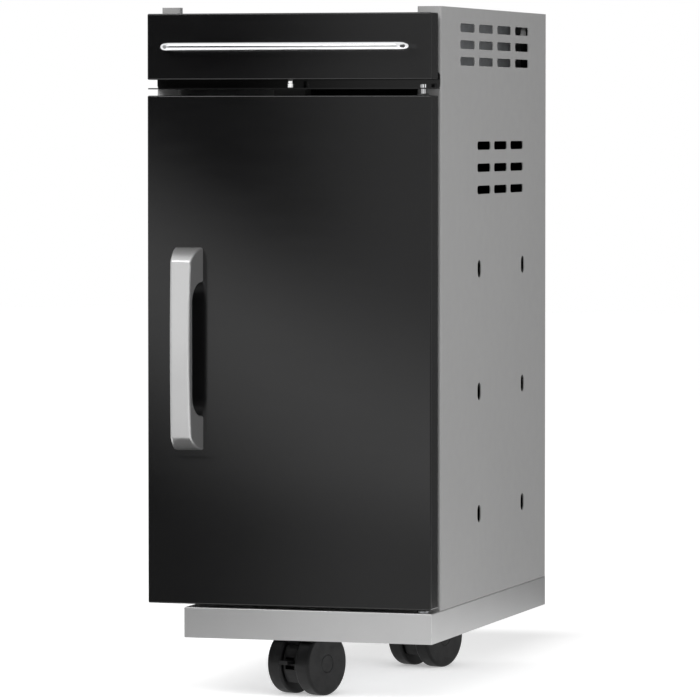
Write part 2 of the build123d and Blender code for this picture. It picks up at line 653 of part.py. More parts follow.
def drawer_slide(side_name, side):
    step = SLIDE_SHEET + SLIDE_GAP
    outer_half = SLIDE_HEIGHT / 2
    y = (PANEL_FRONT_Y + SLIDE_SETBACK, PANEL_FRONT_Y + SLIDE_SETBACK + SLIDE_LENGTH)
    middle_start = y[0] + (SLIDE_LENGTH - SLIDE_MIDDLE_LENGTH) / 2
    middle_y = (middle_start, middle_start + SLIDE_MIDDLE_LENGTH)
    flange_tip = BOX_HALF + step
    with BuildPart() as outer:
        channel(side * OPENING_HALF, side * flange_tip, outer_half, y)
    write(outer, f"slide_outer_{side_name}")
    with BuildPart() as middle:
        channel(side * (OPENING_HALF - step), side * flange_tip, outer_half - step, middle_y)
    write(middle, f"slide_middle_{side_name}")
    with BuildPart() as inner:
        channel(side * BOX_HALF, side * (OPENING_HALF - 2 * step), outer_half - 2 * step, y)
    write(inner, f"slide_inner_{side_name}")

    bracket_y = (PANEL_FRONT_Y + FRONT_LIP, PANEL_BACK_Y - BRACKET_REAR_GAP)
    bracket_z = (SLIDE_Z - BRACKET_HEIGHT / 2, SLIDE_Z + BRACKET_HEIGHT / 2)
    with BuildPart() as bracket:
        block(sorted((side * OPENING_HALF, side * WALL_INNER_X)), bracket_y, bracket_z)
        hollow_x = sorted((side * (OPENING_HALF + SHEET), side * WALL_INNER_X))
        block(hollow_x, bracket_y, (bracket_z[0] + SHEET, bracket_z[1] - SHEET), Mode.SUBTRACT)
    write(bracket, f"slide_bracket_{side_name}")


# Door
def door():
    z = (DOOR_BOTTOM_Z, DOOR_TOP_Z)
    grip_screws = [(GRIP_X, FRONT_Y + SHEET, GRIP_Z + end * GRIP_SCREW_Z) for end in (-1, 1)]
    pivots = [(PIVOT_X, PIVOT_Y, level) for level in z]
    front_skin("door_skin", z, grip_screws, pivots)
    front_liner("door_liner", z)
    screw_group("door_handle_screws", grip_screws, (0, 1, 0))

    with BuildPart() as bushes:
        for level, inward in ((DOOR_BOTTOM_Z, 1), (DOOR_TOP_Z, -1)):
            with BuildSketch(Plane(origin=(PIVOT_X, PIVOT_Y, level), z_dir=(0, 0, inward))):
                Circle(BUSH_RADIUS)
            extrude(amount=PIN_ENGAGEMENT)
            with BuildSketch(Plane(origin=(PIVOT_X, PIVOT_Y, level), z_dir=(0, 0, -inward))):
                Circle(BUSH_FLANGE_RADIUS)
            extrude(amount=BUSH_FLANGE)
        bore("Z", pivots, PIN_RADIUS + PIN_RUNNING_GAP, 2 * (PIN_ENGAGEMENT + BUSH_FLANGE))
    write(bushes, "door_bushes")

    strike_top = DOOR_TOP_Z - LINER_INSET - STRIKE_DROP
    with BuildPart() as strike:
        strike_y = (LINER_BACK_Y, LINER_BACK_Y + STRIKE_SHEET)
        strike_z = (strike_top - STRIKE_HEIGHT, strike_top)
        strike_x = (CATCH_X - STRIKE_WIDTH / 2, CATCH_X + STRIKE_WIDTH / 2)
        block(strike_x, strike_y, strike_z)
        fillet(strike.edges().filter_by(Axis.Y), STRIKE_SHEET)
    write(strike, "strike_plate")


def door_handle():
    half = GRIP_LENGTH / 2
    shoulder = half - GRIP_SHOULDER_DROP
    leg_end = half - GRIP_LEG
    hollow_end = leg_end - GRIP_HOLLOW_RISE
    hollow_reach = GRIP_REACH - GRIP_THICKNESS
    cap = hypot(GRIP_SHOULDER_REACH, GRIP_SHOULDER_DROP)
    cap_reach = GRIP_SHOULDER_REACH / 2 + GRIP_END_BULGE * GRIP_SHOULDER_DROP / cap
    cap_rise = half - GRIP_SHOULDER_DROP / 2 + GRIP_END_BULGE * GRIP_SHOULDER_REACH / cap
    profile_plane = Plane(origin=(GRIP_X, FRONT_Y, GRIP_Z), x_dir=(0, -1, 0), z_dir=(-1, 0, 0))
    with BuildPart() as grip:
        with BuildSketch(profile_plane) as profile:
            with BuildLine():
                Line((0, leg_end), (0, half))
                ThreePointArc((0, half), (cap_reach, cap_rise), (GRIP_SHOULDER_REACH, shoulder))
                ThreePointArc(
                    (GRIP_SHOULDER_REACH, shoulder),
                    (GRIP_REACH, 0),
                    (GRIP_SHOULDER_REACH, -shoulder),
                )
                ThreePointArc((GRIP_SHOULDER_REACH, -shoulder), (cap_reach, -cap_rise), (0, -half))
                Line((0, -half), (0, -leg_end))
                EllipticalCenterArc(
                    (0, -hollow_end), hollow_reach, GRIP_HOLLOW_RISE, start_angle=-90, arc_size=90
                )
                Line((hollow_reach, -hollow_end), (hollow_reach, hollow_end))
                EllipticalCenterArc(
                    (0, hollow_end), hollow_reach, GRIP_HOLLOW_RISE, start_angle=0, arc_size=90
                )
            make_face()
            fillet(profile.vertices().group_by(Axis.X)[-1], GRIP_SHOULDER_RADIUS)
        extrude(amount=GRIP_BASE_WIDTH / 2, both=True)
        base_half = GRIP_BASE_WIDTH / 2
        front_half = GRIP_FRONT_WIDTH / 2
        with BuildSketch(Plane(origin=(GRIP_X, FRONT_Y, GRIP_Z))):
            with BuildLine():
                Polyline(
                    (-base_half, 0),
                    (base_half, 0),
                    (front_half, -GRIP_REACH),
                    (-front_half, -GRIP_REACH),
                    close=True,
                )
            make_face()
        extrude(amount=half, both=True, mode=Mode.INTERSECT)
        side_edges = grip.edges().filter_by(Axis.X, reverse=True)
        long_edges = side_edges.filter_by(lambda edge: edge.center().Y < FRONT_Y - GRIP_EDGE_RADIUS)
        fillet(long_edges, GRIP_EDGE_RADIUS)
        holes = [(GRIP_X, FRONT_Y, GRIP_Z + end * GRIP_SCREW_Z) for end in (-1, 1)]
        bore("Y", holes, SCREW_RADIUS + SCREW_GAP, 2 * (SCREW_LENGTH - SHEET + SCREW_GAP))
    write(grip, "door_handle")


def door_pins():
    with BuildPart() as top_pin:
        with BuildSketch(Plane(origin=(PIVOT_X, PIVOT_Y, LIP_TOP_Z))):
            Circle(PIN_HEAD_RADIUS)
        extrude(amount=PIN_HEAD_HEIGHT)
        fillet(top_pin.faces().sort_by(Axis.Z)[-1].edges(), PIN_HEAD_EDGE)
        with BuildSketch(Plane(origin=(PIVOT_X, PIVOT_Y, LIP_TOP_Z))):
            Circle(PIN_RADIUS)
        extrude(amount=-(LIP_TOP_Z - DOOR_TOP_Z + PIN_ENGAGEMENT))
    write(top_pin, "door_pin_top")

    collar_top = DOOR_BOTTOM_Z - BUSH_FLANGE
    with BuildPart() as bottom_pin:
        with BuildSketch(Plane(origin=(PIVOT_X, PIVOT_Y, BASE_TOP_Z))):
            Circle(BUSH_FLANGE_RADIUS)
        extrude(amount=collar_top - BASE_TOP_Z)
        with BuildSketch(Plane(origin=(PIVOT_X, PIVOT_Y, TRAY_CEILING_Z))):
            Circle(PIN_FOOT_RADIUS)
        extrude(amount=BASE_SHEET)
        with BuildSketch(Plane(origin=(PIVOT_X, PIVOT_Y, TRAY_CEILING_Z))):
            Circle(BUSH_FLANGE_RADIUS)
        extrude(amount=-BASE_SHEET)
        with BuildSketch(Plane(origin=(PIVOT_X, PIVOT_Y, collar_top))):
            Circle(PIN_RADIUS)
        extrude(amount=BUSH_FLANGE + PIN_ENGAGEMENT)
    write(bottom_pin, "door_pin_bottom")


def catch_and_bumpers():
    catch_front = LINER_BACK_Y + STRIKE_SHEET + CATCH_GAP
    catch_x = (CATCH_X - CATCH_WIDTH / 2, CATCH_X + CATCH_WIDTH / 2)
    upstand_y = (PANEL_FRONT_Y, PANEL_FRONT_Y + CATCH_UPSTAND_DEPTH)
    with BuildPart() as catch:
        body_y = (catch_front, PANEL_FRONT_Y + CATCH_DEPTH)
        block(catch_x, body_y, (LIP_BOTTOM_Z - CATCH_HEIGHT, LIP_BOTTOM_Z))
        block(catch_x, upstand_y, (LIP_BOTTOM_Z, LIP_BOTTOM_Z + CATCH_UPSTAND))
        hole = [(CATCH_X, PANEL_FRONT_Y, CATCH_SCREW_Z)]
        bore("Y", hole, SCREW_RADIUS + SCREW_GAP, 2 * CATCH_UPSTAND_DEPTH)
    write(catch, "magnet_catch")

    bumper_length = FRONT_GAP - CATCH_GAP
    bumper_x = -HALF_WIDTH + BUMPER_SIDE_INSET
    with BuildPart() as bumpers:
        for z in (DOOR_BOTTOM_Z + BUMPER_END_INSET, DOOR_TOP_Z - BUMPER_END_INSET):
            with BuildSketch(Plane(origin=(bumper_x, PANEL_FRONT_Y, z), z_dir=(0, -1, 0))):
                Circle(BUMPER_RADIUS)
            extrude(amount=bumper_length, taper=BUMPER_TAPER_ANGLE)
    write(bumpers, "door_bumpers")


# Channel under the base that carries the casters
def caster_channel():
    half = CHANNEL_WIDTH / 2
    y = (FRONT_Y + CHANNEL_END_GAP, PANEL_BACK_Y - CHANNEL_END_GAP)
    web_top = CHANNEL_BOTTOM_Z + CHANNEL_SHEET
    with BuildPart() as beam:
        block((BASE_MIDDLE_X - half, BASE_MIDDLE_X + half), y, (CHANNEL_BOTTOM_Z, TRAY_CEILING_Z))
        hollow = half - CHANNEL_SHEET
        block((BASE_MIDDLE_X - hollow, BASE_MIDDLE_X + hollow), y, (web_top, TRAY_CEILING_Z), Mode.SUBTRACT)
        for side in (-1, 1):
            inner = BASE_MIDDLE_X + side * half
            reach = sorted((inner, inner + side * CHANNEL_FLANGE))
            block(reach, y, (TRAY_CEILING_Z - CHANNEL_SHEET, TRAY_CEILING_Z))
        for stem_x, stem_y, _ in STEM_PLACES.values():
            bore("Z", caster_bolt_places(stem_x, stem_y), BOLT_RADIUS + SCREW_GAP, 4 * CHANNEL_SHEET)
    write(beam, "caster_channel")


def caster_bolt_places(stem_x, stem_y):
    half = CASTER_BOLT_PITCH / 2
    return [(stem_x + a * half, stem_y + b * half, CHANNEL_BOTTOM_Z) for a in (-1, 1) for b in (-1, 1)]


def caster_fasteners():
    places = [p for x, y, _ in STEM_PLACES.values() for p in caster_bolt_places(x, y)]
    grip = CASTER_PLATE_SHEET + CHANNEL_SHEET
    bolt = hex_bolt(grip + NUT_HEIGHT + BOLT_OVERHANG)
    nut = hex_nut()
    with BuildPart() as bolts:
        with Locations(*[Location((x, y, PLATE_BOTTOM_Z), (180, 0, 0)) for x, y, _ in places]):
            add(bolt)
    write(bolts, "caster_bolts")
    with BuildPart() as nuts:
        with Locations(*[Location((x, y, CHANNEL_BOTTOM_Z + CHANNEL_SHEET)) for x, y, _ in places]):
            add(nut)
    write(nuts, "caster_nuts")


# One twin-wheel caster: plate with stem, hood that swivels on it, axle and two wheels
def caster(name, stem_x, stem_y, turn, braked):
    axle_dir = Vector(cos(radians(turn)), sin(radians(turn)), 0)
    stem_dir = Vector(-sin(radians(turn)), cos(radians(turn)), 0)
    stem = Vector(stem_x, stem_y, 0)
    centre = stem - stem_dir * CASTER_TRAIL + Vector(0, 0, WHEEL_RADIUS)
    side_plane = Plane(origin=centre, x_dir=stem_dir, z_dir=axle_dir)
    axle_plane = Plane(origin=centre, x_dir=axle_dir, z_dir=axle_dir.cross(Vector(0, 0, 1)))
    axle_line = Axis(centre, axle_dir)

    with BuildPart() as plate:
        with BuildSketch(Plane.XY.offset(PLATE_BOTTOM_Z)):
            with Locations((stem_x, stem_y)):
                RectangleRounded(CASTER_PLATE, CASTER_PLATE, CASTER_PLATE_CORNER)
                with GridLocations(CASTER_BOLT_PITCH, CASTER_BOLT_PITCH, 2, 2):
                    Circle(BOLT_RADIUS + SCREW_GAP, mode=Mode.SUBTRACT)
        extrude(amount=CASTER_PLATE_SHEET)
        with BuildSketch(Plane(origin=(stem_x, stem_y, PLATE_BOTTOM_Z))):
            Circle(STEM_RADIUS)
        extrude(amount=-STEM_LENGTH)
    write(plate, f"caster_{name}_plate")

    fender_inner = WHEEL_RADIUS + FENDER_GAP
    fender_outer = fender_inner + FENDER_THICKNESS
    with BuildPart() as hood:
        with BuildSketch(side_plane):
            Circle(HOOD_WEB_RADIUS)
            fender_sector(fender_outer, 0)
        extrude(amount=HOOD_HALF, both=True)
        with BuildSketch(side_plane):
            fender_sector(fender_outer, fender_inner)
        extrude(amount=WHEEL_OUTER, both=True)
        with BuildSketch(Plane(origin=(stem_x, stem_y, HOOD_TOP_Z))):
            Circle(HOOD_BARREL_RADIUS)
        extrude(amount=-HOOD_BARREL_DEPTH)
        with Locations((centre.X, centre.Y, HOOD_FOOT_CLEARANCE / 2)):
            Cylinder(WHEEL_RADIUS, HOOD_FOOT_CLEARANCE, mode=Mode.SUBTRACT)
        stem_hole = 2 * (STEM_LENGTH + SWIVEL_GAP)
        bore("Z", [(stem_x, stem_y, PLATE_BOTTOM_Z)], STEM_RADIUS + STEM_RUNNING_GAP, stem_hole)
        with BuildSketch(side_plane):
            Circle(AXLE_RADIUS + AXLE_SEAT_GAP)
        extrude(amount=WHEEL_OUTER, both=True, mode=Mode.SUBTRACT)
        if braked:
            with BuildSketch(side_plane):
                with Locations((-BRAKE_PIVOT_REACH, BRAKE_PIVOT_RISE)):
                    pocket = 2 * (BRAKE_BOSS_RADIUS + BRAKE_POCKET_SIDE)
                    Rectangle(pocket, pocket)
            extrude(amount=BRAKE_POCKET_HALF, both=True, mode=Mode.SUBTRACT)
            with BuildSketch(side_plane):
                with Locations((-BRAKE_PIVOT_REACH, BRAKE_PIVOT_RISE)):
                    Circle(BRAKE_PIN_RADIUS + AXLE_SEAT_GAP)
            extrude(amount=WHEEL_OUTER, both=True, mode=Mode.SUBTRACT)
    write(hood, f"caster_{name}_hood")

    axle_half = WHEEL_OUTER - HUB_COVER - WHEEL_SIDE_GAP
    with BuildPart() as axle:
        with BuildSketch(side_plane):
            Circle(AXLE_RADIUS)
        extrude(amount=axle_half, both=True)
    write(axle, f"caster_{name}_axle")

    for side_name, side in (("left", -1), ("right", 1)):
        with BuildPart() as wheel:
            with BuildSketch(axle_plane):
                with BuildLine():
                    wheel_outline(side)
                make_face()
            revolve(axis=axle_line)
        write(wheel, f"caster_{name}_wheel_{side_name}")

    if braked:
        brake_lever(name, side_plane)


def fender_sector(outer, inner):
    """Sector over the top of the wheels, drawn in the plane across the axle."""
    start, end = 90 - FENDER_HALF_ANGLE, 90 + FENDER_HALF_ANGLE
    tips = [(cos(radians(a)), sin(radians(a))) for a in (start, 90, end)]
    outer_points = [(outer * a, outer * b) for a, b in tips]
    with BuildLine() as edge:
        ThreePointArc(*outer_points)
        if inner:
            inner_points = [(inner * a, inner * b) for a, b in tips]
            ThreePointArc(*inner_points)
            Line(outer_points[0], inner_points[0])
            Line(outer_points[2], inner_points[2])
        else:
            Line(outer_points[0], (0, 0))
            Line(outer_points[2], (0, 0))
    make_face(edge.edges())


def wheel_outline(side):
    """Half section of a wheel: blind bore, rounded tread edges and a fine groove round the hub."""
    bore_radius = AXLE_RADIUS + AXLE_RUNNING_GAP
    bore_end = WHEEL_OUTER - HUB_COVER
    rim = WHEEL_RADIUS - WHEEL_EDGE
    corner = WHEEL_EDGE * (1 - cos(radians(45)))
    points = [
        (bore_end, 0),
        (bore_end, bore_radius),
        (WHEEL_INNER, bore_radius),
        (WHEEL_INNER, rim),
    ]
    face = [
        (WHEEL_OUTER, rim),
        (WHEEL_OUTER, HUB_RADIUS + HUB_GROOVE),
        (WHEEL_OUTER - HUB_GROOVE, HUB_RADIUS),
        (WHEEL_OUTER, HUB_RADIUS - HUB_GROOVE),
        (WHEEL_OUTER, 0),
        (bore_end, 0),
    ]
    inner_tread = (WHEEL_INNER + WHEEL_EDGE, WHEEL_RADIUS)
    outer_tread = (WHEEL_OUTER - WHEEL_EDGE, WHEEL_RADIUS)
    inner_middle = (WHEEL_INNER + corner, WHEEL_RADIUS - corner)
    outer_middle = (WHEEL_OUTER - corner, WHEEL_RADIUS - corner)
    Polyline(*[(side * x, y) for x, y in points])
    ThreePointArc(*[(side * x, y) for x, y in (points[-1], inner_middle, inner_tread)])
    Line(*[(side * x, y) for x, y in (inner_tread, outer_tread)])
    ThreePointArc(*[(side * x, y) for x, y in (outer_tread, outer_middle, face[0])])
    Polyline(*[(side * x, y) for x, y in face])


def brake_lever(name, side_plane):
    pivot = (-BRAKE_PIVOT_REACH, BRAKE_PIVOT_RISE)
    with BuildPart() as lever:
        with BuildSketch(side_plane):
            with Locations(pivot):
                Circle(BRAKE_BOSS_RADIUS)
                with Locations((-BRAKE_PEDAL_LENGTH / 2, BRAKE_BOSS_RADIUS - BRAKE_PEDAL_THICKNESS / 2)):
                    Rectangle(BRAKE_PEDAL_LENGTH, BRAKE_PEDAL_THICKNESS)
                Circle(BRAKE_PIN_RADIUS + AXLE_RUNNING_GAP, mode=Mode.SUBTRACT)
        extrude(amount=BRAKE_POCKET_HALF - BRAKE_SIDE_GAP, both=True)
    write(lever, f"caster_{name}_brake_lever")
    with BuildPart() as pin:
        with BuildSketch(side_plane):
            with Locations(pivot):
                Circle(BRAKE_PIN_RADIUS)
        extrude(amount=HOOD_HALF, both=True)
    write(pin, f"caster_{name}_brake_pin")


os.makedirs("parts", exist_ok=True)
base_tray()
floor_panel()
floor_fasteners()
side_panel("left_side_panel", -1, rim=False)
side_panel("right_side_panel", 1, rim=True)
back_panel()
top_rear_rail()
front_rail()
drawer_rest()
drawer()
drawer_handle()
drawer_slide("left", -1)
drawer_slide("right", 1)
door()
door_handle()
door_pins()
catch_and_bumpers()
caster_channel()
caster_fasteners()
for caster_name, (caster_x, caster_y, caster_turn) in STEM_PLACES.items():
    caster(caster_name, caster_x, caster_y, caster_turn, braked=caster_name == "front")
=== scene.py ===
"""Grill side cabinet, dressed and lit as a product picture on a white floor.

Metres, +Z up, front towards -Y, right side towards +X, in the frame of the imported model.
"""

import json
from math import radians

import bpy
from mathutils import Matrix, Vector


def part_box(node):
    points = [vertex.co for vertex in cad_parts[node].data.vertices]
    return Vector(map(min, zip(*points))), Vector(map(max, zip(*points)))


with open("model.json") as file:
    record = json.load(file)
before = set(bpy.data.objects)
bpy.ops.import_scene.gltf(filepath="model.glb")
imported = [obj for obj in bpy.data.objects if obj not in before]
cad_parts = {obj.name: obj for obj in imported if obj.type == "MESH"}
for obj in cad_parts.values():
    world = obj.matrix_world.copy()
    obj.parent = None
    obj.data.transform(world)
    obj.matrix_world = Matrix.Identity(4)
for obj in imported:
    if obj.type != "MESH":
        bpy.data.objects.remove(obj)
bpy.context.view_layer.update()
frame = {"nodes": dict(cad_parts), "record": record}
NODES = frame["nodes"]
SLOT_OF = {entry["node"]: entry["material_slot"] for entry in frame["record"]["subparts"]}

WHITE = (1, 1, 1, 1)

# Camera, fitted to the photograph's straight edges
CAMERA_PLACE = (1.8445, -6.11795, 0.7025)
CAMERA_PITCH = 2.571
CAMERA_YAW = 16.764
CAMERA_LENS = 262.57
CAMERA_REACH = 200.0
SENSOR_WIDTH = 36.0

# Soft light from the surroundings, and the floor
HORIZON_LEVEL = 0.25
ZENITH_LEVEL = 0.64
FLOOR_WIDTH = 24.0
FLOOR_COLOUR = (0.86, 0.86, 0.86, 1)
FLOOR_LIFT = 0.565

# Lamps; the fill is left out of polished surfaces
KEY_LAMP = {
    "place": (-0.7, -2.2, 1.8),
    "target": (0, 0, 0.35),
    "size": (1.6, 1.2),
    "power": 42,
    "glint": True,
}
FILL_LAMP = {
    "place": (2.4, -0.9, 0.75),
    "target": (0.18, 0, 0.4),
    "size": (1.2, 1.0),
    "power": 28,
    "glint": False,
}

# Soft pool of shade on the floor, under and behind the cabinet
SHADE_LEVEL = 0.45
SHADE_X = (-0.20, 0.12)
SHADE_Y = (-0.18, 0.66)
SHADE_EDGE = 0.06
SHADE_REACH = 0.4
SHADE_SAMPLES = 16
CONTACT_LEVEL = 0.4
CONTACT_REACH = 0.04

# Studio panel in front of the cabinet that only polished surfaces show
PANEL_GAP = 1.0
PANEL_X = (-1.15, 0.55)
PANEL_HEIGHT = 1.4
PANEL_BAND_LEVEL = 1.1
PANEL_DARK_LEVEL = 0.02
PANEL_RIGHT_LEVEL = 0.56

# Part of the panel that the door mirrors: left and right edge, top and bottom edge
MIRRORED_X = (-0.517, -0.113)
MIRRORED_Z = (0.729, 0.038)

# Pattern of the panel, in shares of the mirrored part
MIRRORED_MIDDLE = 0.5
BAND_SLANT = 0.335
BAND_PEAK = 0.365
BAND_END = 0.83
UPPER_FADE = (0.25, 0.95)
LOWER_FADE = (-0.2, 0.95)
FADE_CHANGE = (0.3, 0.7)
SIDE_MARGIN = (0.9, 2.0)
TOP_MARGIN = (-0.5, -1.4)

# Low screen in front, in polished surfaces only
SCREEN_GAP = 0.2
SCREEN_X = (-0.8, 0.3)
SCREEN_HEIGHT = 0.28
SCREEN_FADE_X = (-0.22, 0.08)
SCREEN_LEVELS = (0.15, 0.62)

# Dark wall behind and dark cards to the left and right, in polished surfaces only
WALL_X = (0.2, 1.4)
WALL_Y = 0.85
WALL_HEIGHT = 1.6
WALL_LEVEL = 0.11
SIDE_X = (-1.15, 0.95)
SIDE_Y = (-1.25, -0.3)
SIDE_LEVELS = (0.35, 0.10)

# Sheet of painted shade under the grip, in polished surfaces only, that darkens the grip's lower end
GRIP_SHADE_DROP = 0.008
GRIP_SHADE_DEPTH = 0.055
GRIP_SHADE_SLOPE = 0.07
GRIP_SHADE_MARGIN = 0.004
GRIP_SHADE_LEVEL = 0.08


class Tree:
    """Short way to write a node tree: each node is added with its settings and what feeds it."""

    SHADER_INPUTS = {
        "base": "Base Color",
        "metal": "Metallic",
        "rough": "Roughness",
        "specular": "Specular IOR Level",
        "normal": "Normal",
    }

    def __init__(self, owner):
        owner.use_nodes = True
        self.tree = owner.node_tree
        self.tree.nodes.clear()

    def feed(self, socket, value):
        """Link another node's output, or set a plain value."""
        if isinstance(value, bpy.types.NodeSocket):
            self.tree.links.new(value, socket)
        else:
            socket.default_value = value

    def add(self, kind, feeds=None, **settings):
        node = self.tree.nodes.new("ShaderNode" + kind)
        for key, value in settings.items():
            setattr(node, key, value)
        for key, value in (feeds or {}).items():
            self.feed(node.inputs[key], value)
        return node

    def place(self):
        """Position on the piece, in metres."""
        return self.add("TexCoord").outputs["Object"]

    def axes(self):
        """Position on the piece, one output per axis."""
        return self.add("SeparateXYZ", {0: self.place()}).outputs

    def stretched(self, scale):
        """Position scaled apart along each axis, for brushed and drawn surfaces."""
        return self.add("Mapping", {"Vector": self.place(), "Scale": scale}).outputs["Vector"]

    def noise(self, scale, detail=2.0, roughness=0.5, vector=None):
        vector = vector or self.place()
        feeds = {"Vector": vector, "Scale": scale, "Detail": detail, "Roughness": roughness}
        return self.add("TexNoise", feeds).outputs["Fac"]

    def ease(self, value, start, end, low=0.0, high=1.0, ease="SMOOTHSTEP"):
        """Step of a value between two limits."""
        feeds = {"Value": value, "From Min": start, "From Max": end, "To Min": low, "To Max": high}
        return self.add("MapRange", feeds, interpolation_type=ease).outputs["Result"]

    def spread(self, value, low, high, start=0.3, end=0.7):
        """Straight ramp over the middle of a noise."""
        return self.ease(value, start, end, low, high, "LINEAR")

    def within(self, value, limits, soft):
        """One between two limits and nothing outside, with soft edges."""
        low, high = limits
        above = self.ease(value, low - soft, low + soft)
        below = self.ease(value, high + soft, high - soft)
        return self.math("MULTIPLY", above, below)

    def math(self, operation, first, second=0.0):
        return self.add("Math", {0: first, 1: second}, operation=operation).outputs[0]

    def mix(self, factor, first, second, blend="MIX"):
        """Mix of two colours."""
        feeds = {0: factor, 6: first, 7: second}
        return self.add("Mix", feeds, data_type="RGBA", blend_type=blend).outputs[2]

    def blend(self, factor, first, second):
        """Mix of two numbers."""
        feeds = {0: factor, 2: first, 3: second}
        return self.add("Mix", feeds, data_type="FLOAT").outputs[0]

    def tinted(self, factor, colour, tint):
        """Colour, multiplied by a tint where the factor is high."""
        return self.mix(factor, colour, self.mix(1.0, colour, tint, "MULTIPLY"))

    def bump(self, height, distance):
        feeds = {"Height": height, "Distance": distance, "Strength": 1.0}
        return self.add("Bump", feeds).outputs["Normal"]

    def seen(self):
        """One where the camera, a reflection or glass looks, and nothing for soft light."""
        path = self.add("LightPath").outputs
        reflected = self.math("MAXIMUM", path["Is Glossy Ray"], path["Is Transmission Ray"])
        return self.math("MAXIMUM", path["Is Camera Ray"], reflected)

    def emission(self, level):
        return self.add("Emission", {"Color": WHITE, "Strength": level}).outputs[0]

    def mixed(self, factor, first, second):
        """Mix of two shaders."""
        return self.add("MixShader", {0: factor, 1: first, 2: second}).outputs[0]

    def output(self, shader, kind="OutputMaterial"):
        self.add(kind, {"Surface": shader})

    def surface(self, **feeds):
        shader = self.add("BsdfPrincipled")
        for key, value in feeds.items():
            self.feed(shader.inputs[self.SHADER_INPUTS[key]], value)
        self.output(shader.outputs["BSDF"])


def shade(colour, factor):
    return tuple(min(1.0, c * factor) for c in colour) + (1,)


def new_material(name):
    material = bpy.data.materials.new(name)
    return material, Tree(material)


# Satin powder coat: fine peel, faint clouding and a fine metallic grain
def grey_paint():
    material, tree = new_material("grey_paint")
    colour = (0.285, 0.284, 0.282)
    clouds = tree.spread(tree.noise(scale=5.0, detail=3.0), low=0, high=1)
    base = tree.mix(clouds, shade(colour, 0.99), shade(colour, 1.01))
    grain = tree.spread(tree.noise(scale=5200.0, detail=1.0), low=0, high=1, start=0.35, end=0.65)
    base = tree.tinted(grain, base, tint=(1.08, 1.08, 1.09, 1))
    rough = tree.spread(tree.noise(scale=60.0, detail=5.0), low=0.46, high=0.52)
    peel = tree.bump(tree.noise(scale=900.0), distance=0.00006)
    tree.surface(base=base, rough=rough, normal=peel)
    return material


# Gloss enamel: deep black with a slow peel and faint wiping marks
def black_gloss():
    material, tree = new_material("black_gloss")
    colour = (0.0040, 0.0040, 0.0042)
    clouds = tree.spread(tree.noise(scale=11.0, detail=4.0), low=0, high=1)
    base = tree.mix(clouds, shade(colour, 0.92), shade(colour, 1.08))
    wipes = tree.noise(scale=1.0, detail=6.0, roughness=0.6, vector=tree.stretched((14, 14, 70)))
    rough = tree.spread(wipes, low=0.10, high=0.14)
    peel = tree.bump(tree.noise(scale=260.0, detail=1.0), distance=0.00001)
    tree.surface(base=base, rough=rough, normal=peel)
    return material


# Chrome plate with fine polishing marks
def chrome():
    material, tree = new_material("chrome")
    marks = tree.noise(scale=1.0, detail=3.0, vector=tree.stretched((60, 900, 900)))
    base = tree.mix(marks, (0.76, 0.77, 0.78, 1), (0.86, 0.86, 0.87, 1))
    rough = tree.spread(marks, low=0.045, high=0.11)
    fine = tree.bump(marks, distance=0.00001)
    tree.surface(base=base, metal=1.0, rough=rough, normal=fine)
    return material


# Satin silver coat: fine metal flake in a soft sheen
def silver_satin():
    material, tree = new_material("silver_satin")
    colour = (0.55, 0.55, 0.548)
    clouds = tree.spread(tree.noise(scale=18.0, detail=3.0), low=0, high=1)
    base = tree.mix(clouds, shade(colour, 0.985), shade(colour, 1.015))
    flake = tree.spread(tree.noise(scale=4200.0), low=0, high=1, start=0.35, end=0.65)
    base = tree.tinted(flake, base, tint=(1.08, 1.08, 1.09, 1))
    rough = tree.spread(flake, low=0.35, high=0.41, start=0, end=1)
    skin = tree.bump(tree.noise(scale=1500.0), distance=0.00003)
    tree.surface(base=base, metal=0.88, rough=rough, normal=skin)
    return material


# Moulded black nylon of the casters, scuffed a little
def caster_black():
    material, tree = new_material("caster_black")
    marks = tree.noise(scale=140.0, detail=6.0, roughness=0.65)
    scuffs = tree.spread(marks, low=0, high=1, start=0.5, end=0.75)
    base = tree.mix(scuffs, (0.0050, 0.0050, 0.0052, 1), (0.010, 0.010, 0.010, 1))
    rough = tree.spread(tree.noise(scale=90.0, detail=4.0), low=0.36, high=0.52)
    grain = tree.bump(tree.noise(scale=2600.0), distance=0.00004)
    tree.surface(base=base, rough=rough, specular=0.25, normal=grain)
    return material


def moulded(name, dark, light, scale, detail, rough, distance):
    """Plain moulded finish whose colour, gloss and grain all follow one noise."""
    material, tree = new_material(name)
    grain = tree.noise(scale, detail)
    base = tree.mix(grain, dark, light)
    low, high = rough
    tree.surface(base=base, rough=tree.spread(grain, low, high), normal=tree.bump(grain, distance))
    return material


# Plain black moulded plastic of the catch and the bushes
def catch_black():
    return moulded(
        "catch_black",
        dark=(0.022, 0.022, 0.022, 1),
        light=(0.034, 0.034, 0.034, 1),
        scale=2200.0,
        detail=2.0,
        rough=(0.42, 0.56),
        distance=0.00005,
    )


# Rubber with a faint bloom
def bumper_rubber():
    return moulded(
        "bumper_rubber",
        dark=(0.036, 0.036, 0.036, 1),
        light=(0.062, 0.061, 0.060, 1),
        scale=500.0,
        detail=5.0,
        rough=(0.68, 0.85),
        distance=0.00008,
    )


# Moulded white nylon
def nylon_white():
    return moulded(
        "nylon_white",
        dark=(0.80, 0.80, 0.79, 1),
        light=(0.86, 0.86, 0.85, 1),
        scale=1800.0,
        detail=2.0,
        rough=(0.34, 0.44),
        distance=0.00003,
    )


